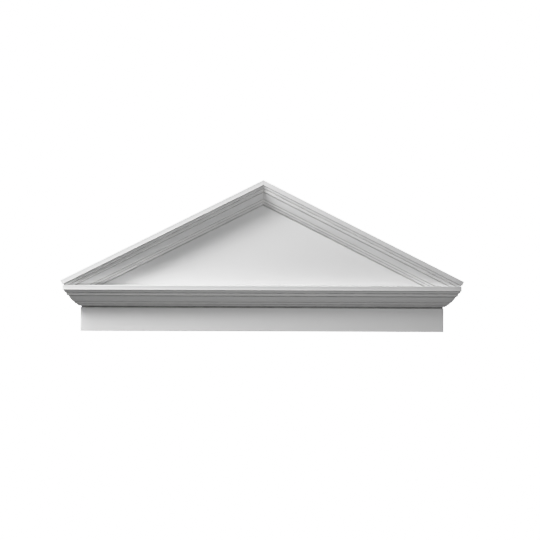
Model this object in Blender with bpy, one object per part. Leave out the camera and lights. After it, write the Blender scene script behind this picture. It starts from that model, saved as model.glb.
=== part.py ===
"""Peaked cap pediment: a flat board dressed with a level crown moulding and two raking ones.

Metres, +Z up. The front faces -Y, and the back lies flat on the wall plane, y = 0.
The origin is on the back, on the centre line, level with the top of the horizontal crown.
"""

import math

import bmesh
import bpy
from mathutils import Matrix, Vector

# Driving dimensions
FRIEZE_LENGTH = 1.524
FRIEZE_HEIGHT = 0.1060
BOARD_THICKNESS = 0.025
PITCH = 6 / 12
CROWN_PROJECTION = 0.065
JOINT_GAP = 0.0003

# How far a raking crown's square end stands above the horizontal crown's top front corner,
# measured square to the slope.
RAKE_HEEL = 0.0224

# Members of the crown moulding, from its top front corner down: drop, set-back, and the rise of
# its curve, positive where it is round, negative where it is hollow and 0 where it is flat.
CROWN_MEMBERS = {
    "top fillet": (0.0190, 0.0, 0.0),
    "soffit of the top fillet": (0.0010, 0.0035, 0.0),
    "bevel": (0.0110, 0.0080, -0.0006),
    "upper quirk": (0.0020, 0.0040, 0.0),
    "middle fillet": (0.0085, 0.0, 0.0),
    "soffit of the middle fillet": (0.0025, 0.0090, 0.0),
    "ovolo": (0.0250, 0.0155, 0.0015),
    "lower quirk": (0.0020, 0.0050, 0.0),
    "lower fillet": (0.0060, 0.0, 0.0),
    "cove": (0.0060, 0.0105, -0.0015),
    "bottom fillet": (0.0055, 0.0030, 0.0),
}
CURVE_STEPS = 12

# Worked out from the driving dimensions
CROWN_HEIGHT = sum(drop for drop, set_back, rise in CROWN_MEMBERS.values())
HALF_FRIEZE = FRIEZE_LENGTH / 2
BOARD_FOOT = -(CROWN_HEIGHT + FRIEZE_HEIGHT)
SLOPE = math.atan(PITCH)
CROWN_CORNER = HALF_FRIEZE + CROWN_PROJECTION
TIP_X = CROWN_CORNER + RAKE_HEEL * math.sin(SLOPE)
TIP_Z = RAKE_HEEL * math.cos(SLOPE)
PEAK_Z = TIP_Z + TIP_X * PITCH
RAKE_LENGTH = TIP_X / math.cos(SLOPE)

# The raking crowns lap over the board's top edge by the height of their top fillet.
LAP = CROWN_MEMBERS["top fillet"][0]

# A crown is first made this far into the board, and the board's outline is then cut out of it.
TONGUE = 0.010

# How far a cutter runs past what it cuts
CUTTER_MARGIN = 0.05

PRIMED_WHITE = (0.80, 0.80, 0.80, 1.0)
PRIMER_ROUGHNESS = 0.55
SMOOTH_ANGLE = math.radians(20)


def clear_scene():
    for obj in list(bpy.data.objects):
        bpy.data.objects.remove(obj, do_unlink=True)


def primed_material(name):
    """Smooth factory primer on moulded foam."""
    material = bpy.data.materials.new(name)
    material.use_nodes = True
    shader = material.node_tree.nodes["Principled BSDF"]
    shader.inputs["Base Color"].default_value = PRIMED_WHITE
    shader.inputs["Roughness"].default_value = PRIMER_ROUGHNESS
    shader.inputs["Metallic"].default_value = 0.0
    return material


def arc(start, end, rise):
    """Points after start, up to end, of the circular arc that bulges outwards by rise."""
    chord = end - start
    along = chord.normalized()
    outward = Vector((-along.y, along.x))
    radius = (chord.length_squared / 4 + rise**2) / (2 * rise)
    centre = (start + end) / 2 + outward * (rise - radius)
    half_angle = math.asin(chord.length / (2 * radius))
    points = []
    for step in range(1, CURVE_STEPS + 1):
        angle = half_angle * (2 * step / CURVE_STEPS - 1)
        points.append(centre + radius * (outward * math.cos(angle) + along * math.sin(angle)))
    return points


def crown_profile():
    """The moulded face as (drop, projection), from the top front corner to the bottom fillet."""
    points = [Vector((0, CROWN_PROJECTION))]
    for drop, set_back, rise in CROWN_MEMBERS.values():
        start = points[-1]
        end = start + Vector((drop, -set_back))
        points += arc(start, end, rise) if rise else [end]
    return points


def crown_section(back):
    """The closed section of a crown whose flat back is at the projection called back."""
    return [Vector((0, back)), *crown_profile(), Vector((CROWN_HEIGHT, back))]


def mesh_between(name, rings):
    """A closed mesh through rings of equal length, with the first and last ring as end faces."""
    shape = bmesh.new()
    corners = [[shape.verts.new(point) for point in ring] for ring in rings]
    count = len(rings[0])
    for near, far in zip(corners, corners[1:]):
        for i in range(count):
            j = (i + 1) % count
            shape.faces.new((near[i], near[j], far[j], far[i]))
    shape.faces.new(corners[0])
    shape.faces.new(corners[-1])
    bmesh.ops.remove_doubles(shape, verts=shape.verts, dist=1e-6)
    bmesh.ops.recalc_face_normals(shape, faces=shape.faces)
    mesh = bpy.data.meshes.new(name)
    shape.to_mesh(mesh)
    shape.free()
    mesh.shade_smooth()
    mesh.set_sharp_from_angle(angle=SMOOTH_ANGLE)
    return mesh


def add_piece(name, mesh, parent, location=(0, 0, 0), turn_about_y=0.0):
    piece = bpy.data.objects.new(name, mesh)
    mesh.materials.append(primed_material(name + "_primer"))
    bpy.context.scene.collection.objects.link(piece)
    piece.parent = parent
    piece.location = location
    piece.rotation_euler = (0, turn_about_y, 0)
    return piece


def add_cutter(name, mesh):
    cutter = bpy.data.objects.new(name, mesh)
    bpy.context.scene.collection.objects.link(cutter)
    cutter.hide_render = True
    cutter.display_type = "WIRE"
    return cutter


def cut(piece, cutter):
    modifier = piece.modifiers.new("cut by " + cutter.name, "BOOLEAN")
    modifier.operation = "DIFFERENCE"
    modifier.solver = "EXACT"
    modifier.object = cutter


def gable_outline(half_width, foot, peak):
    """A five-sided outline in X and Z: upright sides under two edges that rise to the peak."""
    shoulder = peak - half_width * PITCH
    return (
        (-half_width, foot),
        (half_width, foot),
        (half_width, shoulder),
        (0, peak),
        (-half_width, shoulder),
    )


def board_mesh(name, grown_by, front, back):
    """The board's outline, grown all round, between the planes y = front and y = back."""
    peak = PEAK_Z - LAP / math.cos(SLOPE) + grown_by / math.cos(SLOPE)
    # A wider board's shoulders drop with the slope, so the peak alone sets the raked edges.
    outline = gable_outline(HALF_FRIEZE + grown_by, BOARD_FOOT - grown_by, peak)
    rings = [[(x, y, z) for x, z in outline] for y in (front, back)]
    return mesh_between(name, rings)


def horizontal_crown_mesh():
    """The section carried round the board: from the wall, along the front, back to the wall."""
    section = crown_section(-TONGUE)

    def end_at_wall(side):
        return [(side * (HALF_FRIEZE + out), 0.0, -drop) for drop, out in section]

    def corner_mitre(side):
        return [(side * (HALF_FRIEZE + out), -(BOARD_THICKNESS + out), -drop) for drop, out in section]

    rings = [end_at_wall(-1), corner_mitre(-1), corner_mitre(1), end_at_wall(1)]
    return mesh_between("horizontal_crown", rings)


def raking_crown_mesh(name, side):
    """The section carried down the slope from the peak's mitre, and round its end to the wall.

    In the piece's own axes X runs along the slope, away from the peak for side 1 and towards
    -X for side -1, and the top edge is at z = 0.
    """
    section = crown_section(-BOARD_THICKNESS)
    board_end = RAKE_LENGTH - CROWN_PROJECTION
    half_gap = JOINT_GAP / 2
    at_peak = []
    at_corner = []
    at_wall = []
    for drop, out in section:
        y = -(BOARD_THICKNESS + out)
        mitre_start = (drop * math.sin(SLOPE) + half_gap) / math.cos(SLOPE)
        at_peak.append((side * mitre_start, y, -drop))
        at_corner.append((side * (board_end + out), y, -drop))
        at_wall.append((side * (board_end + out), 0.0, -drop))
    return mesh_between(name, [at_peak, at_corner, at_wall])


def shelf_cutter_mesh():
    """A block under the plane where the raking crowns stand on the horizontal crown's top."""
    shape = bmesh.new()
    size = Vector((2 * TIP_X, BOARD_THICKNESS + CROWN_PROJECTION, CROWN_HEIGHT))
    size += Vector((2, 2, 2)) * CUTTER_MARGIN
    middle = Vector((0, -(BOARD_THICKNESS + CROWN_PROJECTION) / 2, JOINT_GAP - size.z / 2))
    bmesh.ops.create_cube(shape, size=1, matrix=Matrix.LocRotScale(middle, None, size))
    mesh = bpy.data.meshes.new("under_the_shelf")
    shape.to_mesh(mesh)
    shape.free()
    return mesh


def build():
    clear_scene()
    pediment = bpy.data.objects.new("pediment", None)
    bpy.context.scene.collection.objects.link(pediment)

    board = board_mesh("backboard", 0.0, -BOARD_THICKNESS, 0.0)
    add_piece("backboard", board, pediment)

    clearance = board_mesh("board_clearance", JOINT_GAP, -(BOARD_THICKNESS + JOINT_GAP), CUTTER_MARGIN)
    board_clearance = add_cutter("board_clearance", clearance)
    under_the_shelf = add_cutter("under_the_shelf", shelf_cutter_mesh())

    horizontal = add_piece("horizontal_crown", horizontal_crown_mesh(), pediment)
    cut(horizontal, board_clearance)

    for name, side in (("raking_crown_left", -1), ("raking_crown_right", 1)):
        mesh = raking_crown_mesh(name, side)
        rake = add_piece(name, mesh, pediment, (0, 0, PEAK_Z), side * SLOPE)
        cut(rake, board_clearance)
        cut(rake, under_the_shelf)


build()
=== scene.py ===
"""Looks for the peaked cap pediment: white factory primer on crisp moulded foam, in soft light.

Metres, +Z up. The front faces -Y, and the back lies flat on the wall plane, y = 0.
The origin is on the back, on the centre line, level with the top of the horizontal crown.
"""

import math

import bmesh
import bpy
import numpy as np
from mathutils import Matrix, Vector


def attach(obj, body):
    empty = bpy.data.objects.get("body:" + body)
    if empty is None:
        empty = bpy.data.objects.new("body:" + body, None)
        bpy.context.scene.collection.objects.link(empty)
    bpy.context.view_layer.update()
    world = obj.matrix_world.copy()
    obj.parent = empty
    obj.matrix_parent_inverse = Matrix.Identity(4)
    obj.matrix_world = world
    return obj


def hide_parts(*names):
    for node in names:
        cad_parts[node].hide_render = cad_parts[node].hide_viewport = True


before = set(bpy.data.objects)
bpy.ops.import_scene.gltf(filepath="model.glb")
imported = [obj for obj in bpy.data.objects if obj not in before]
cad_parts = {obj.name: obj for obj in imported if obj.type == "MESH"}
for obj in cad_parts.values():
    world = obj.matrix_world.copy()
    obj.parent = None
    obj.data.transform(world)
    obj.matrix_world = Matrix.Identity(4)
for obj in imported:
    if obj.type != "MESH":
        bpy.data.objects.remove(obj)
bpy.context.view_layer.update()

# Driving dimensions, the same as the solids'
FRIEZE_LENGTH = 1.524
FRIEZE_HEIGHT = 0.1060
BOARD_THICKNESS = 0.025
PITCH = 6 / 12
CROWN_PROJECTION = 0.065
JOINT_GAP = 0.0003
RAKE_HEEL = 0.0224

# Members of the crown moulding, from its top front corner down: drop, set-back, and the rise of
# its curve, positive where it is round, negative where it is hollow and 0 where it is flat. They
# follow the solids' members and add what is too fine for those, such as the fillet's slight flare.
CROWN_MEMBERS = {
    "top fillet": (0.0105, 0.0005, 0.0),
    "flare of the top fillet": (0.0083, -0.0005, 0.0),
    "soffit of the top fillet": (0.0010, 0.0040, 0.0),
    "small ovolo": (0.0098, 0.0050, 0.0010),
    "upper quirk": (0.0014, 0.0042, 0.0),
    "sill of the upper quirk": (0.0008, -0.0008, 0.0),
    "middle fillet": (0.0094, 0.0024, 0.0002),
    "soffit of the middle fillet": (0.0026, 0.0060, 0.0),
    "cyma": (0.0245, 0.0164, 0.0010),
    "lower quirk": (0.0012, 0.0036, 0.0),
    "lower fillet": (0.0083, 0.0054, 0.0003),
    "quirk of the foot": (0.0016, 0.0040, 0.0),
    "bottom fillet": (0.0064, 0.0064, 0.0005),
    "foot": (0.0027, 0.0050, 0.0),
}
CROWN_HEIGHT = 0.0885

# The groove along the crown's foot, under the level crown and along the rakes: height, depth and the
# distance to a hollow given to its floor, from 0 where painted shade covers the floor fully. The last
# number is its depth in the board's ends.
LEVEL_JOINT = 0.0075, 0.0120, 0.0
RAKE_JOINT = 0.0048, 0.0020, 0.0015
JOINT_END_DEPTH = 0.0012

# Worked out from the driving dimensions
HALF_FRIEZE = FRIEZE_LENGTH / 2
BOARD_FOOT = -(CROWN_HEIGHT + FRIEZE_HEIGHT)
SLOPE = math.atan(PITCH)
TIP_X = HALF_FRIEZE + CROWN_PROJECTION + RAKE_HEEL * math.sin(SLOPE)
PEAK_Z = RAKE_HEEL * math.cos(SLOPE) + TIP_X * PITCH
RAKE_LENGTH = TIP_X / math.cos(SLOPE)
RAKE_BOARD_END = RAKE_LENGTH - CROWN_PROJECTION
LAP = 0.019

# Softness of the moulded foam's edges
ARRIS_RADIUS = 0.0009
BOARD_ARRIS_RADIUS = 0.0020
MITRE_EASE = 0.0002

# Fineness of the mesh
ARC_STEPS = 14
ARRIS_STEPS = 4
GIRTH_STEP = 0.002
RUN_STEP = 0.040
BOARD_BANDS = 0.004, 0.010, 0.020, 0.050  # rows and columns in from the board's edges
HIDDEN_ROWS = -0.030, -0.024  # heights of the board's rows that end behind the horizontal crown
SHARPEST_SMOOTH_EDGE = math.radians(32)
LEAST_CORNER = math.radians(14)

# Past this distance an edge or a hollow leaves no mark.
EDGE_REACH = 0.020


def circular_arc(start, end, rise):
    """Points on the arc from start to end that bulges outwards by rise.

    With chord c and rise h the radius is (c^2 / 4 + h^2) / 2h. The points turn evenly about the
    centre, which lies radius - h behind the middle of the chord.
    """
    chord = end - start
    length = np.hypot(*chord)
    along = chord / length
    outward = np.array((-along[1], along[0]))
    radius = (length**2 / 4 + rise**2) / (2 * rise)
    centre = (start + end) / 2 + outward * (rise - radius)
    turn = math.asin(length / (2 * radius)) * np.linspace(-1, 1, ARC_STEPS + 1)[:, None]
    return centre + radius * (np.cos(turn) * outward + np.sin(turn) * along)


def crown_outline():
    """Rows of (drop, out) with sharp corners, from the crown's top at the board, round its moulded
    face, to its underside at the board."""
    runs = [np.array(((0.0, JOINT_GAP), (0.0, CROWN_PROJECTION)))]
    for drop, set_back, rise in CROWN_MEMBERS.values():
        start = runs[-1][-1]
        end = start + (drop, -set_back)
        runs.append(circular_arc(start, end, rise)[1:] if rise else end[None])
    runs.append(np.array(((CROWN_HEIGHT, JOINT_GAP),)))
    return np.concatenate(runs)


def eased(line, radius):
    """The line with softened corners, and a mark for each point: 1 on a softened arris, -1 in a
    softened hollow and 0 elsewhere.

    With a corner at C, and A and B at most a radius before and after it, the corner becomes the
    curve (1-u)^2 A + 2u(1-u) C + u^2 B.
    """
    sides = np.diff(line, axis=0)
    turns = -np.diff(np.unwrap(np.arctan2(sides[:, 1], sides[:, 0])))
    corner = 1 + np.flatnonzero(np.abs(turns) > LEAST_CORNER)
    before, at, after = line[corner - 1], line[corner], line[corner + 1]
    length_in = np.hypot(*(before - at).T)[:, None]
    length_out = np.hypot(*(after - at).T)[:, None]
    a = at + (before - at) / length_in * np.minimum(radius, 0.45 * length_in)
    b = at + (after - at) / length_out * np.minimum(radius, 0.45 * length_out)
    u = np.linspace(0, 1, ARRIS_STEPS + 1)[:, None, None]
    curves = (1 - u) ** 2 * a + 2 * u * (1 - u) * at + u**2 * b
    plain = np.setdiff1d(np.arange(len(line)), corner)
    place = np.argsort(np.concatenate([plain, (corner + u[:, :, 0] / 2).ravel()]), kind="stable")
    points = np.concatenate([line[plain], curves.reshape(-1, 2)])[place]
    marks = np.concatenate([np.zeros(len(plain)), np.tile(np.sign(turns[corner - 1]), len(u))])[place]
    return points, marks


def girth_of(line):
    """The distance along a line to each of its points."""
    return np.concatenate([[0.0], np.cumsum(np.hypot(*np.diff(line, axis=0).T))])


def refined(line, marks):
    """The line with points added so that no step is longer than about GIRTH_STEP."""
    girth = girth_of(line)
    extra = np.arange(0, girth[-1], GIRTH_STEP)
    clear = np.abs(extra[:, None] - girth).min(axis=1) > GIRTH_STEP / 4
    every = np.sort(np.concatenate([girth, extra[clear]]))
    points = np.stack([np.interp(every, girth, axis) for axis in line.T], axis=1)
    return points, np.where(np.isin(every, girth), np.interp(every, girth, marks), 0.0)


def crown_rows():
    """The crown's softened outline as four columns of numbers: drop and out, the girth, and the
    distances along the girth to the nearest arris and the nearest hollow."""
    line, marks = refined(*eased(crown_outline(), ARRIS_RADIUS))
    girth = girth_of(line)
    steps = np.abs(girth[:, None] - girth)
    to_arris = steps[:, marks > 0.5].min(axis=1)
    to_hollow = steps[:, marks < -0.5].min(axis=1)
    return line, girth, to_arris, to_hollow


def stations(length, step):
    """Even shares from 0 to 1 that cut a length into steps of about this size."""
    return np.linspace(0, 1, max(1, round(length / step)) + 1)


def vertex_table(*columns):
    """One row per vertex, from grids of its place (three numbers), its run and girth along the
    surface, and its distances to an arris and to a hollow."""
    return np.stack(np.broadcast_arrays(*columns), axis=-1).reshape(-1, len(columns))


def numbers(shape, first=0):
    """A grid of vertex numbers that counts on from first."""
    return first + np.arange(math.prod(shape)).reshape(shape)


def quads(ids):
    """Four-cornered faces between the neighbours of a grid of vertex numbers."""
    return np.stack([ids[:-1, :-1], ids[1:, :-1], ids[1:, 1:], ids[:-1, 1:]], axis=-1).reshape(-1, 4)


def add_piece(name, vertices, primed, bare, materials):
    """A closed mesh from a vertex table, with its primed faces in the first material and its bare
    ones in the second. Run and girth become its UV map, and the edge distances attributes."""
    faces = [*primed, *bare]
    mesh = bpy.data.meshes.new(name)
    mesh.from_pydata(vertices[:, :3].tolist(), [], [face.tolist() for face in faces])
    for material in materials:
        mesh.materials.append(material)
    slots = np.repeat((0, 1), (len(primed), len(bare)))
    mesh.polygons.foreach_set("material_index", slots.astype(np.int32))
    runs = vertices[np.concatenate(faces), 3:5].astype(np.float32)
    mesh.uv_layers.new(name="run").data.foreach_set("uv", runs.ravel())
    for column, attribute in ((5, "to_arris"), (6, "to_hollow")):
        values = np.minimum(vertices[:, column], EDGE_REACH).astype(np.float32)
        mesh.attributes.new(attribute, "FLOAT", "POINT").data.foreach_set("value", values)
    shape = bmesh.new()
    shape.from_mesh(mesh)
    bmesh.ops.recalc_face_normals(shape, faces=shape.faces)
    shape.to_mesh(mesh)
    shape.free()
    mesh.shade_smooth()
    mesh.set_sharp_from_angle(angle=SHARPEST_SMOOTH_EDGE)
    piece = bpy.data.objects.new(name, mesh)
    bpy.context.scene.collection.objects.link(piece)
    return piece


def level_crown(name, materials):
    """The crown's outline carried from the wall along the front and back to the wall.

    A row at distance out from the board runs at x = -(half frieze + out) from the wall to the
    corner, round a quarter circle, and then at y = -(board thickness + out) along the front. The
    other half mirrors it.
    """
    line, girth, to_arris, to_hollow = crown_rows()
    drop, out = line[:, :1], line[:, 1:]
    radius = np.minimum(ARRIS_RADIUS, out)
    centre_x = HALF_FRIEZE + out - radius
    centre_y = BOARD_THICKNESS + out - radius
    side = stations(BOARD_THICKNESS + CROWN_PROJECTION, RUN_STEP / 2)[None, :-1]
    quarter = np.linspace(0, math.pi / 2, ARRIS_STEPS + 1)[None]
    front = stations(HALF_FRIEZE, RUN_STEP)[None, 1:]
    half_x = [0 * side - HALF_FRIEZE - out, -centre_x - radius * np.cos(quarter), centre_x * (front - 1)]
    half_y = [-centre_y * side, -centre_y - radius * np.sin(quarter), 0 * front - BOARD_THICKNESS - out]
    half_x, half_y = np.concatenate(half_x, axis=1), np.concatenate(half_y, axis=1)
    x = np.concatenate([half_x, -half_x[:, -2::-1]], axis=1)
    y = np.concatenate([half_y, half_y[:, -2::-1]], axis=1)
    run = np.cumsum(np.hypot(np.diff(x, prepend=x[:, :1]), np.diff(y, prepend=y[:, :1])), axis=1)
    run -= run[:, -1:] / 2
    corner_run = run[:, [side.shape[1] + ARRIS_STEPS // 2]]
    to_corner = np.abs(np.abs(run) + corner_run)
    ids = numbers(x.shape)
    vertices = vertex_table(
        x, y, -drop, run, girth[:, None], np.minimum(to_arris[:, None], to_corner), to_hollow[:, None]
    )
    primed = quads(ids)
    bare = [*quads(ids[[-1, 0]]), ids[:, 0], ids[:, -1]]
    return add_piece(name, vertices, primed, bare, materials)


def shelf_reach(drop):
    """How far down the slope a line at this drop meets the top of the level crown."""
    return (PEAK_Z - JOINT_GAP - drop * math.cos(SLOPE)) / math.sin(SLOPE)


def slope_at(x, drop):
    """How far down the slope a line at this drop is at x from the centre line."""
    return (x + drop * math.sin(SLOPE)) / math.cos(SLOPE)


def rake_rows():
    """The crown's rows with one more, the heel, where the end return's corner comes down to the
    shelf of the level crown, and the number of that row."""
    rows = crown_rows()
    line = rows[0]
    spare = shelf_reach(line[:, 0]) - RAKE_BOARD_END - line[:, 1]
    heel = int(np.flatnonzero(spare < 0)[0])
    share = spare[heel - 1] / (spare[heel - 1] - spare[heel])
    blend = [values[heel - 1] + share * (values[heel] - values[heel - 1]) for values in rows]
    return *(np.insert(values, heel, value, axis=0) for values, value in zip(rows, blend)), heel


def eased_mitre(line):
    """The outline drawn in square to itself by MITRE_EASE, for the softened edge of the mitre."""
    tangent = np.gradient(line, axis=0)
    tangent /= np.hypot(*tangent.T)[:, None]
    inward = np.stack([tangent[:, 1], -tangent[:, 0]], axis=1)
    inward[[0, -1]] = (1, 0), (-1, 0)
    return line + inward * MITRE_EASE


def raking_crown(name, side, materials):
    """The crown's outline carried down the slope from the peak's mitre, and round its end.

    A point at distance s down the slope and drop t square to it lies at x = s cos - t sin and
    z = peak - s sin - t cos. A row starts where x is half the joint's gap. Down to the heel it
    turns at s = board end + out and goes back to the wall. Below the heel it stops at the shelf.
    """
    line, girth, to_arris, to_hollow, heel = rake_rows()
    drop, out = line[:, :1], line[:, 1:]
    girth, to_arris, to_hollow = girth[:, None], to_arris[:, None], to_hollow[:, None]
    radius = np.minimum(ARRIS_RADIUS, out)
    corner = RAKE_BOARD_END + out

    # The long face: the mitre's softened edge, then even stations down to the corner or the shelf
    start = slope_at(JOINT_GAP / 2, drop) + MITRE_EASE
    above_heel = np.arange(len(line))[:, None] <= heel
    end = np.where(above_heel, corner - radius, shelf_reach(drop))
    mitre = eased_mitre(line)
    mitre_drop, mitre_out = mitre[:, :1], mitre[:, 1:]
    down = stations(RAKE_LENGTH, RUN_STEP)[None]
    s = np.concatenate([slope_at(JOINT_GAP / 2, mitre_drop), start + (end - start) * down], axis=1)
    t = np.concatenate([mitre_drop, drop + 0 * down], axis=1)
    y = -BOARD_THICKNESS - np.concatenate([mitre_out, out + 0 * down], axis=1)
    to_end = np.minimum(np.abs(s - start), np.abs(corner - s))
    long_face = vertex_table(s, t, y, s, girth, np.minimum(to_arris, to_end), to_hollow)
    long_ids = numbers(s.shape)

    # The end: a quarter circle round the corner, then straight back to the wall
    upper = slice(0, heel + 1)
    quarter = np.linspace(0, math.pi / 2, ARRIS_STEPS + 1)[None, 1:]
    back = stations(BOARD_THICKNESS + CROWN_PROJECTION, RUN_STEP / 2)[None, 1:]
    centre_s = (corner - radius)[upper]
    centre_y = (BOARD_THICKNESS + out - radius)[upper]
    end_s = [centre_s + radius[upper] * np.sin(quarter), corner[upper] + 0 * back]
    end_y = [-centre_y - radius[upper] * np.cos(quarter), centre_y * (back - 1)]
    end_s, end_y = np.concatenate(end_s, axis=1), np.concatenate(end_y, axis=1)
    past_corner = end_y + BOARD_THICKNESS + out[upper]
    end_face = vertex_table(
        end_s,
        drop[upper],
        end_y,
        end_s + past_corner,
        girth[upper],
        np.minimum(to_arris[upper], past_corner),
        to_hollow[upper],
    )
    end_ids = numbers(end_s.shape, long_ids.size)
    end_ids = np.concatenate([long_ids[upper, -1:], end_ids], axis=1)

    # The corners of the hidden faces: the mitre's back, the rebate over the board, and the foot
    rebate = LAP - JOINT_GAP
    board_side = HALF_FRIEZE + JOINT_GAP
    board_front = -BOARD_THICKNESS - JOINT_GAP
    foot = (PEAK_Z - JOINT_GAP) * math.cos(SLOPE) - board_side * math.sin(SLOPE)
    hidden_s = [slope_at(JOINT_GAP / 2, 0), *[slope_at(JOINT_GAP / 2, rebate)] * 2]
    hidden_s += [*[slope_at(board_side, rebate)] * 2, *[shelf_reach(foot)] * 2]
    hidden_t = [0, rebate, rebate, rebate, rebate, foot, foot]
    hidden_y = [0, 0, board_front, 0, board_front, 0, board_front]
    hidden = vertex_table(hidden_s, hidden_t, hidden_y, hidden_s, hidden_y, EDGE_REACH, EDGE_REACH)
    hidden_ids = numbers((7, 1), long_ids.size + end_s.size)
    peak_wall, peak_rebate, peak_board, side_rebate, side_board, foot_wall, foot_board = hidden_ids

    vertices = np.concatenate([long_face, end_face, hidden])
    s, t = vertices[:, 0].copy(), vertices[:, 1].copy()
    vertices[:, 0] = side * (s * math.cos(SLOPE) - t * math.sin(SLOPE))
    vertices[:, 1] = vertices[:, 2]
    vertices[:, 2] = PEAK_Z - s * math.sin(SLOPE) - t * math.cos(SLOPE)

    def ring(*parts):
        return np.concatenate(parts)

    primed = [*quads(long_ids), *quads(end_ids), ring(long_ids[0], end_ids[0, 1:], peak_wall)]
    bare = [
        ring(long_ids[::-1, 0], peak_wall, peak_rebate, peak_board),
        ring(long_ids[-1], foot_board, side_board, peak_board),
        ring(peak_rebate, side_rebate, side_board, peak_board),
        ring(side_rebate, foot_wall, foot_board, side_board),
        ring(peak_wall, end_ids[:, -1], foot_wall, side_rebate, peak_rebate),
        ring(long_ids[heel:, -1], foot_board, foot_wall, end_ids[-1, :0:-1]),
    ]
    return add_piece(name, vertices, primed, bare, materials)


def joint_groove(sill, depth, floor_to_hollow):
    """A groove from behind the crown down to its sill: drop below the crown's foot, out from the board's
    front, and the distances across it to the nearest arris and to the hollow that takes painted shade,
    with the given distance on its floor."""
    head, draft, lip = -0.0030, 0.0005, 0.0010
    above, below = 0.001, 0.004
    corners = (
        (head - above, 0),
        (head, 0),
        (head + draft, -depth),
        (sill - draft, -depth),
        (sill - draft * lip / depth, -lip),
        (sill, 0),
        (sill + below, 0),
    )
    line, marks = eased(np.array(corners), ARRIS_RADIUS / 2)
    girth = girth_of(line)
    steps = np.abs(girth[:, None] - girth)
    to_hollow = np.where(line[:, 1] < -lip / 2, floor_to_hollow, steps[:, marks < -0.5].min(axis=1))
    return np.array((*line.T, steps[:, marks > 0.5].min(axis=1), to_hollow))[:, ::-1]


def mirrored(half):
    """A row of values from the left edge to the centre line, carried on to the right edge."""
    return np.concatenate([half, half[-2::-1]])


def edge_ring(ids):
    """The numbers round the edge of a grid, back to the first."""
    return np.concatenate([ids[0, :-1], ids[:-1, -1], ids[-1, :0:-1], ids[:0:-1, 0], ids[:1, 0]])


def backboard(name, materials):
    """A grid of rows and columns for the front and another for the back, joined round the edge.

    Level rows cross the frieze. Rake rows keep their distance k below the top edge, at
    z = top - k - pitch |x|, but go no lower than a line behind the horizontal crown. The front's
    edges are quarter circles: at angle a they lie r (1 - cos a) in from the outline and
    r (1 - sin a) behind the front.
    """
    angle = np.linspace(0, math.pi / 2, ARRIS_STEPS + 1)
    bands = np.array(BOARD_BANDS)
    insets = np.concatenate([BOARD_ARRIS_RADIUS * (1 - np.cos(angle)), bands])
    falls = np.concatenate([BOARD_ARRIS_RADIUS * (1 - np.sin(angle)), 0 * bands])
    middle = bands[-1] + (HALF_FRIEZE - bands[-1]) * stations(HALF_FRIEZE, 3 * RUN_STEP)[1:]
    to_side = mirrored(np.concatenate([insets, middle]))
    side_fall = mirrored(np.concatenate([falls, 0 * middle]))
    column = np.linspace(-1, 1, len(to_side))
    x = np.sign(column) * (HALF_FRIEZE - to_side)

    # Rows from the foot up: the frieze's edge and field, the groove under the level crown, the
    # groove along the rakes, and the hidden top
    level_drop, level_out, *level_near = joint_groove(*LEVEL_JOINT)
    rake_drop, rake_out, *rake_near = joint_groove(*RAKE_JOINT)
    level_z = np.concatenate([BOARD_FOOT + insets, -CROWN_HEIGHT - level_drop])
    top = PEAK_Z - LAP / math.cos(SLOPE) - PITCH * np.abs(x)
    below_top = np.concatenate([CROWN_HEIGHT - LAP + rake_drop, bands[::-1], [0.0]]) / math.cos(SLOPE)
    least_z = np.linspace(*HIDDEN_ROWS, len(below_top))[:, None]
    rake_z = top - below_top[:, None]
    z = np.concatenate([level_z[:, None] + 0 * x, np.maximum(rake_z, least_z)])
    plain = 0 * insets
    seen = np.concatenate([np.ones((len(level_z), len(x))), rake_z > least_z])
    row_out = np.concatenate([plain, level_out, rake_out, np.zeros(len(bands) + 1)])[:, None]
    row_fall = np.concatenate([falls, np.zeros(len(z) - len(falls))])[:, None]
    end_share = JOINT_END_DEPTH / LEVEL_JOINT[1]
    narrowed = np.concatenate([plain, -level_out * end_share, 0 * below_top])[:, None]
    x = x * (1 - narrowed / HALF_FRIEZE)
    front_y = -BOARD_THICKNESS - row_out * seen + np.maximum(row_fall, side_fall)

    # How far each row lies from a groove's arris and hollow
    frieze_far, top_far = plain + EDGE_REACH, np.full(len(bands) + 1, EDGE_REACH)
    to_arris, to_hollow = (
        np.concatenate([frieze_far, level, rake, top_far])[:, None]
        for level, rake in zip(level_near, rake_near)
    )
    to_edge = np.minimum(np.minimum(to_side, z - BOARD_FOOT), (top - z) * math.cos(SLOPE))

    front = vertex_table(x, front_y, z, x, z, np.minimum(to_edge, to_arris), to_hollow)
    back = vertex_table(x, 0, z, x, z, to_edge, EDGE_REACH)
    ids = numbers(z.shape)
    back_ids = numbers(z.shape, ids.size)
    rings = np.stack([edge_ring(ids), edge_ring(back_ids)])
    primed = [*quads(ids), *quads(rings)]
    bare = [*quads(back_ids)]
    return add_piece(name, np.concatenate([front, back]), primed, bare, materials)


# Materials

# Noise values between which a mark comes in, and distances across a cell between which a pit does
RUB_PATCHES = 0.40, 0.62
DUST_AND_SHADE_PATCHES = 1.8, -0.2
PORE_RIM = 0.26, 0.10


def add_node(tree, kind, settings=(), **inputs):
    """A node with its settings, and each input linked from a socket or given a plain value. An
    underscore in an input's name stands for a space."""
    node = tree.nodes.new(kind)
    for setting, value in dict(settings).items():
        setattr(node, setting, value)
    for name, value in inputs.items():
        socket = node.inputs[name.replace("_", " ")]
        if isinstance(value, bpy.types.NodeSocket):
            tree.links.new(value, socket)
        else:
            socket.default_value = value
    return node


def math_node(tree, operation, first, second=0.0, third=0.0):
    """The result of a Math node on numbers or sockets."""
    node = tree.nodes.new("ShaderNodeMath")
    node.operation = operation
    for socket, value in zip(node.inputs, (first, second, third)):
        if isinstance(value, bpy.types.NodeSocket):
            tree.links.new(value, socket)
        else:
            socket.default_value = value
    return node.outputs["Value"]


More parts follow.
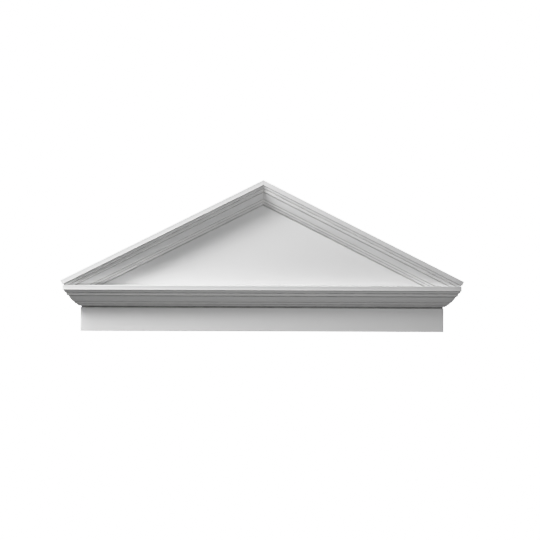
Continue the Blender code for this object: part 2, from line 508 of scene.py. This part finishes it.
def mixed(tree, share, first, second):
    """Colour first turning into colour second as share goes from 0 to 1."""
    node = tree.nodes.new("ShaderNodeMix")
    node.data_type = "RGBA"
    by_name = {socket.identifier: socket for socket in node.inputs}
    for identifier, value in (("Factor_Float", share), ("A_Color", first), ("B_Color", second)):
        if isinstance(value, bpy.types.NodeSocket):
            tree.links.new(value, by_name[identifier])
        else:
            by_name[identifier].default_value = value
    return next(socket for socket in node.outputs if socket.identifier == "Result_Color")


def smooth_share(tree, value, low, high):
    """0 at low and 1 at high, with a smooth change between them."""
    node = add_node(tree, "ShaderNodeMapRange", {"interpolation_type": "SMOOTHSTEP"}, Value=value)
    for name, limit in (("From Min", low), ("From Max", high)):
        if isinstance(limit, bpy.types.NodeSocket):
            tree.links.new(limit, node.inputs[name])
        else:
            node.inputs[name].default_value = limit
    return node.outputs["Result"]


def new_group(name, inputs, outputs):
    """A shader node group with named sockets: inputs gives each one's type and first value."""
    tree = bpy.data.node_groups.new(name, "ShaderNodeTree")
    for socket, (kind, value) in inputs.items():
        made = tree.interface.new_socket(socket, in_out="INPUT", socket_type="NodeSocket" + kind)
        if value is not None:
            made.default_value = value
    for socket, kind in outputs.items():
        tree.interface.new_socket(socket, in_out="OUTPUT", socket_type="NodeSocket" + kind)
    return tree, tree.nodes.new("NodeGroupInput").outputs, tree.nodes.new("NodeGroupOutput").inputs


def sprayed_coat_group():
    """A sprayed coat: broad clouds of tone and gloss, and the fine skin of an orange in relief."""
    tree, given, made = new_group(
        "sprayed coat",
        {
            "Vector": ("Vector", None),
            "Colour": ("Color", (0.8, 0.8, 0.8, 1)),
            "Cloud size": ("Float", 0.1),
            "Cloud depth": ("Float", 0.02),
            "Peel size": ("Float", 0.002),
            "Peel height": ("Float", 0.00002),
            "Roughness": ("Float", 0.5),
            "Roughness spread": ("Float", 0.1),
        },
        {"Colour": "Color", "Roughness": "Float", "Height": "Float"},
    )
    cloud_scale = math_node(tree, "DIVIDE", 1.0, given["Cloud size"])
    cloud = add_node(tree, "ShaderNodeTexNoise", Vector=given["Vector"], Scale=cloud_scale, Detail=4.0)
    off_middle = math_node(tree, "SUBTRACT", cloud.outputs["Fac"], 0.5)
    full_depth = math_node(tree, "MULTIPLY", given["Cloud depth"], 2.0)
    tone = math_node(tree, "MULTIPLY_ADD", off_middle, full_depth, 1.0)
    shaded = add_node(tree, "ShaderNodeVectorMath", {"operation": "SCALE"}, Scale=tone)
    tree.links.new(given["Colour"], shaded.inputs[0])
    tree.links.new(shaded.outputs["Vector"], made["Colour"])
    rough = math_node(tree, "MULTIPLY_ADD", off_middle, given["Roughness spread"], given["Roughness"])
    tree.links.new(rough, made["Roughness"])
    peel_scale = math_node(tree, "DIVIDE", 1.0, given["Peel size"])
    peel = add_node(tree, "ShaderNodeTexNoise", Vector=given["Vector"], Scale=peel_scale, Detail=1.0)
    height = math_node(tree, "MULTIPLY", peel.outputs["Fac"], given["Peel height"])
    tree.links.new(height, made["Height"])
    return tree


def edge_marks_group():
    """Patchy bands beside the edges: where an arris has been rubbed, and a band of painted shade, with
    gathered coat and dust, in a hollow."""
    tree, given, made = new_group(
        "edge marks",
        {
            "Vector": ("Vector", None),
            "Rub width": ("Float", 0.0015),
            "Dust width": ("Float", 0.003),
            "Patch size": ("Float", 0.02),
        },
        {"Rub": "Float", "Dust and shade": "Float"},
    )
    patch_scale = math_node(tree, "DIVIDE", 1.0, given["Patch size"])
    patches = add_node(tree, "ShaderNodeTexNoise", Vector=given["Vector"], Scale=patch_scale, Detail=5.0)
    rubbed = smooth_share(tree, patches.outputs["Fac"], *RUB_PATCHES)
    # Patches of painted shade and dust in the hollows
    dust_and_shade_patchy = smooth_share(tree, patches.outputs["Fac"], *DUST_AND_SHADE_PATCHES)
    for output, attribute, width, patchy in (
        ("Rub", "to_arris", given["Rub width"], rubbed),
        ("Dust and shade", "to_hollow", given["Dust width"], dust_and_shade_patchy),
    ):
        distance = add_node(tree, "ShaderNodeAttribute", {"attribute_name": attribute})
        away = smooth_share(tree, distance.outputs["Fac"], 0.0, width)
        near = math_node(tree, "SUBTRACT", 1.0, away)
        tree.links.new(math_node(tree, "MULTIPLY", near, patchy), made[output])
    return tree


def foam_pores_group():
    """Round pits of burst bubbles: a cell holds one where its random number is under the share."""
    tree, given, made = new_group(
        "foam pores",
        {
            "Vector": ("Vector", None),
            "Pore spacing": ("Float", 0.004),
            "Share": ("Float", 0.3),
            "Depth": ("Float", 0.0001),
        },
        {"Pore": "Float", "Height": "Float"},
    )
    scale = math_node(tree, "DIVIDE", 1.0, given["Pore spacing"])
    cells = add_node(tree, "ShaderNodeTexVoronoi", Vector=given["Vector"], Scale=scale)
    red = add_node(tree, "ShaderNodeSeparateColor", Color=cells.outputs["Color"]).outputs["Red"]
    chosen = math_node(tree, "LESS_THAN", red, given["Share"])
    pit = smooth_share(tree, cells.outputs["Distance"], *PORE_RIM)
    pore = math_node(tree, "MULTIPLY", pit, chosen)
    tree.links.new(pore, made["Pore"])
    depth = math_node(tree, "MULTIPLY", given["Depth"], -1.0)
    tree.links.new(math_node(tree, "MULTIPLY", pore, depth), made["Height"])
    return tree


def drawn_lines_group():
    """Fine lines along the run, as a mould or a sanding block leaves them: noise that is stretched
    along the first axis of its vector."""
    tree, given, made = new_group(
        "drawn lines",
        {
            "Run": ("Vector", None),
            "Stretch": ("Float", 0.3),
            "Spacing": ("Float", 0.002),
            "Height": ("Float", 0.00002),
        },
        {"Line": "Float", "Height": "Float"},
    )
    along = math_node(tree, "DIVIDE", 1.0, given["Stretch"])
    across = math_node(tree, "DIVIDE", 1.0, given["Spacing"])
    scale = add_node(tree, "ShaderNodeCombineXYZ", X=along, Y=across)
    stretched = add_node(tree, "ShaderNodeVectorMath", {"operation": "MULTIPLY"})
    tree.links.new(given["Run"], stretched.inputs[0])
    tree.links.new(scale.outputs["Vector"], stretched.inputs[1])
    along_run = stretched.outputs["Vector"]
    noise = add_node(tree, "ShaderNodeTexNoise", Vector=along_run, Scale=1.0, Detail=3.0)
    tree.links.new(noise.outputs["Fac"], made["Line"])
    tree.links.new(math_node(tree, "MULTIPLY", noise.outputs["Fac"], given["Height"]), made["Height"])
    return tree


def place_group(tree, group, **inputs):
    """A group in a material, with its own values."""
    node = add_node(tree, "ShaderNodeGroup", {"node_tree": group})
    for name, value in inputs.items():
        socket = node.inputs[name.replace("_", " ")]
        if isinstance(value, bpy.types.NodeSocket):
            tree.links.new(value, socket)
        else:
            socket.default_value = value
    return node.outputs


def relief(tree, heights):
    """A Bump node on the sum of these heights, which are in metres."""
    total = heights[0]
    for height in heights[1:]:
        total = math_node(tree, "ADD", total, height)
    return add_node(tree, "ShaderNodeBump", Strength=1.0, Distance=1.0, Height=total).outputs["Normal"]


# Colours
PRIMER = (0.80, 0.80, 0.80, 1)
RUBBED_PRIMER = (0.83, 0.825, 0.81, 1)
# Dust and painted shade in the crowns' hollows
DUST_AND_PAINTED_SHADE = (0.36, 0.356, 0.348, 1)
# Painted shade in the board's joint grooves
JOINT_PAINTED_SHADE = (0.20, 0.197, 0.192, 1)
FOAM = (0.70, 0.655, 0.555, 1)
PORE = (0.50, 0.45, 0.35, 1)

# How far a mark covers the colour beneath it, and what it adds to the roughness
RUB_STRENGTH = 0.7
PORE_STRENGTH = 0.6
RUB_POLISH = -0.12
LINE_DULLING = 0.06


def primed_material(name, groups, line_height, line_spacing, dust_and_shade):
    """White factory primer over moulded foam. Its hollows are darkened towards the given colour of
    painted shade, which on the crowns also stands for gathered dust.
    """
    material = bpy.data.materials.new(name)
    material.use_nodes = True
    tree = material.node_tree
    shader = tree.nodes["Principled BSDF"]
    place = add_node(tree, "ShaderNodeTexCoord").outputs["Object"]
    run = add_node(tree, "ShaderNodeUVMap", {"uv_map": "run"}).outputs["UV"]
    coat = place_group(
        tree,
        groups["coat"],
        Vector=place,
        Colour=PRIMER,
        Cloud_size=0.14,
        Cloud_depth=0.016,
        Peel_size=0.0022,
        Peel_height=0.00002,
        Roughness=0.52,
        Roughness_spread=0.22,
    )
    edges = place_group(
        tree, groups["edges"], Vector=place, Rub_width=0.0012, Dust_width=0.0032, Patch_size=0.05
    )
    pores = place_group(
        tree, groups["pores"], Vector=place, Pore_spacing=0.007, Share=0.05, Depth=0.00012
    )
    lines = place_group(
        tree, groups["lines"], Run=run, Stretch=0.35, Spacing=line_spacing, Height=line_height
    )
    # Painted shade, with dust on the crowns, darkens the hollows
    dusted_and_shaded = mixed(tree, edges["Dust and shade"], coat["Colour"], dust_and_shade)
    rubbed = mixed(tree, math_node(tree, "MULTIPLY", edges["Rub"], RUB_STRENGTH), dusted_and_shaded, RUBBED_PRIMER)
    tree.links.new(rubbed, shader.inputs["Base Color"])
    polished = math_node(tree, "MULTIPLY_ADD", edges["Rub"], RUB_POLISH, coat["Roughness"])
    streaked = math_node(tree, "MULTIPLY_ADD", lines["Line"], LINE_DULLING, polished)
    tree.links.new(streaked, shader.inputs["Roughness"])
    normal = relief(tree, [coat["Height"], pores["Height"], lines["Height"]])
    tree.links.new(normal, shader.inputs["Normal"])
    return material


def bare_foam_material(name, groups):
    """Sawn ivory foam with open pores, and a ragged border of primer that was sprayed past the
    edges."""
    material = bpy.data.materials.new(name)
    material.use_nodes = True
    tree = material.node_tree
    shader = tree.nodes["Principled BSDF"]
    place = add_node(tree, "ShaderNodeTexCoord").outputs["Object"]
    run = add_node(tree, "ShaderNodeUVMap", {"uv_map": "run"}).outputs["UV"]
    coat = place_group(
        tree,
        groups["coat"],
        Vector=place,
        Colour=FOAM,
        Cloud_size=0.09,
        Cloud_depth=0.07,
        Peel_size=0.0012,
        Peel_height=0.00008,
        Roughness=0.82,
        Roughness_spread=0.15,
    )
    edges = place_group(
        tree, groups["edges"], Vector=place, Rub_width=0.018, Dust_width=0.004, Patch_size=0.012
    )
    pores = place_group(
        tree, groups["pores"], Vector=place, Pore_spacing=0.0035, Share=0.45, Depth=0.0005
    )
    lines = place_group(tree, groups["lines"], Run=run, Stretch=0.6, Spacing=0.006, Height=0.0002)
    pitted = mixed(tree, math_node(tree, "MULTIPLY", pores["Pore"], PORE_STRENGTH), coat["Colour"], PORE)
    sprayed = mixed(tree, edges["Rub"], pitted, PRIMER)
    tree.links.new(sprayed, shader.inputs["Base Color"])
    tree.links.new(coat["Roughness"], shader.inputs["Roughness"])
    normal = relief(tree, [coat["Height"], pores["Height"], lines["Height"]])
    tree.links.new(normal, shader.inputs["Normal"])
    return material


# Studio

FLOOR_Z = -1.3
FLOOR_HALF = 6.0
FLOOR_GREY = (0.2, 0.2, 0.2, 1)
CAMERA_PLACE = (-0.0461, -5.0313, 0.2235)
CAMERA_LENS = 79.56
CAMERA_SHIFT = (-0.0083, -0.0499)
CAMERA_TURNS = (math.radians(1.081), math.radians(0.529), math.radians(0.299))
AMBIENT = 0.02

# How light becomes picture tone: unchanged up to the pale greys, then ever gentler up to the white
# of the surround, so that the faces turned to the key lamp keep their shading
SURROUND_LIGHT = 2.4
HIGHLIGHTS = (0.65, 0.65), (0.80, 0.755), (1.00, 0.84), (1.30, 0.895), (1.80, 0.945)

LAMP_DISTANCE = 2.5
LAMP_AIM = (0, 0, 0.05)

# Softboxes: degrees to the right of the front, degrees up, side in metres, and watts
SOFT_LAMPS = {
    "key": (-64, 36, 0.60, 77),
    "high side": (-90, 46, 0.40, 20),
    "low side": (-82, 10, 0.50, 12),
    "front": (5, 0, 0.40, 10),
    "right fill": (20, 30, 0.50, 10),
    "back": (150, 30, 1.00, 55),
}


def add_soft_lamps():
    """Square softboxes that look at the middle of the piece from LAMP_DISTANCE, turned from the
    front (negative to the left) and raised by these angles."""
    for name, (turn, rise, size, power) in SOFT_LAMPS.items():
        turn, rise = math.radians(turn), math.radians(rise)
        level = math.cos(rise)
        away = Vector((math.sin(turn) * level, -math.cos(turn) * level, math.sin(rise)))
        lamp = bpy.data.lights.new(name, "AREA")
        lamp.shape = "SQUARE"
        lamp.size = size
        lamp.energy = power
        light = bpy.data.objects.new(name, lamp)
        light.location = Vector(LAMP_AIM) + LAMP_DISTANCE * away
        light.rotation_euler = (-away).to_track_quat("-Z", "Y").to_euler()
        bpy.context.scene.collection.objects.link(light)


def add_white_surround():
    """A world that shows plain white to the camera and lights the piece with a weaker grey."""
    world = bpy.data.worlds.new("studio")
    bpy.context.scene.world = world
    world.use_nodes = True
    tree = world.node_tree
    seen = add_node(tree, "ShaderNodeLightPath").outputs["Is Camera Ray"]
    strength = add_node(tree, "ShaderNodeMapRange", Value=seen, To_Min=AMBIENT, To_Max=SURROUND_LIGHT)
    background = tree.nodes["Background"]
    background.inputs["Color"].default_value = (1, 1, 1, 1)
    tree.links.new(strength.outputs["Result"], background.inputs["Strength"])


def add_floor():
    """A pale studio floor well below the piece. It reads as plain white in the picture, and from
    underneath it is clear."""
    material = bpy.data.materials.new("white_floor")
    material.use_nodes = True
    tree = material.node_tree
    diffuse = tree.nodes["Principled BSDF"]
    diffuse.inputs["Base Color"].default_value = FLOOR_GREY
    diffuse.inputs["Roughness"].default_value = 0.9
    seen = add_node(tree, "ShaderNodeLightPath").outputs["Is Camera Ray"]
    glow = add_node(tree, "ShaderNodeEmission", Strength=SURROUND_LIGHT).outputs["Emission"]
    mix = add_node(tree, "ShaderNodeMixShader", Fac=seen)
    tree.links.new(diffuse.outputs["BSDF"], mix.inputs[1])
    tree.links.new(glow, mix.inputs[2])
    underneath = add_node(tree, "ShaderNodeNewGeometry").outputs["Backfacing"]
    clear = add_node(tree, "ShaderNodeBsdfTransparent").outputs["BSDF"]
    surface = add_node(tree, "ShaderNodeMixShader", Fac=underneath)
    tree.links.new(mix.outputs["Shader"], surface.inputs[1])
    tree.links.new(clear, surface.inputs[2])
    tree.links.new(surface.outputs["Shader"], tree.nodes["Material Output"].inputs["Surface"])
    mesh = bpy.data.meshes.new("floor")
    corners = [(-1, -1), (1, -1), (1, 1), (-1, 1)]
    points = [(FLOOR_HALF * x, FLOOR_HALF * y, FLOOR_Z) for x, y in corners]
    mesh.from_pydata(points, [], [(0, 1, 2, 3)])
    mesh.materials.append(material)
    floor = bpy.data.objects.new("floor", mesh)
    bpy.context.scene.collection.objects.link(floor)


def set_tones():
    """The picture's tones, by straight runs between the points of HIGHLIGHTS."""
    view = bpy.context.scene.view_settings
    view.view_transform = "Standard"
    view.use_curve_mapping = True
    view.curve_mapping.white_level = (SURROUND_LIGHT,) * 3
    curve = view.curve_mapping.curves[3]
    for light, tone in HIGHLIGHTS:
        curve.points.new(light / SURROUND_LIGHT, tone)
    for point in curve.points:
        point.handle_type = "VECTOR"
    view.curve_mapping.update()


def camera_turn():
    """The camera's turn: facing +Y, then swung to its right, tipped down and rolled."""
    swing, tip, roll = CAMERA_TURNS
    facing = Matrix.Rotation(math.pi / 2, 4, "X")
    swung = Matrix.Rotation(-swing, 4, "Z")
    tipped = Matrix.Rotation(-tip, 4, "X")
    rolled = Matrix.Rotation(-roll, 4, "Y")
    return swung @ tipped @ rolled @ facing


def add_camera():
    data = bpy.data.cameras.new("camera")
    data.sensor_width = 36
    data.lens = CAMERA_LENS
    data.shift_x, data.shift_y = CAMERA_SHIFT
    camera = bpy.data.objects.new("camera", data)
    camera.matrix_world = Matrix.Translation(CAMERA_PLACE) @ camera_turn()
    bpy.context.scene.collection.objects.link(camera)
    bpy.context.scene.camera = camera


groups = {
    "coat": sprayed_coat_group(),
    "edges": edge_marks_group(),
    "pores": foam_pores_group(),
    "lines": drawn_lines_group(),
}
foam_back = bare_foam_material("bare_foam_back", groups)
# The board's joint grooves take painted shade; the crowns' hollows take dust and painted shade
board_finish = [primed_material("primed_board_finish", groups, 0.000003, 0.008, JOINT_PAINTED_SHADE), foam_back]
crown_finish = [primed_material("primed_crown_finish", groups, 0.000004, 0.0025, DUST_AND_PAINTED_SHADE), foam_back]

pieces = {
    "backboard": backboard("primed_backboard", board_finish),
    "horizontal_crown": level_crown("primed_level_crown", crown_finish),
    "raking_crown_left": raking_crown("primed_raking_crown_left", -1, crown_finish),
    "raking_crown_right": raking_crown("primed_raking_crown_right", 1, crown_finish),
}
for node, piece in pieces.items():
    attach(piece, "root")
    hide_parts(node)

add_camera()
add_soft_lamps()
add_white_surround()
add_floor()
set_tones()
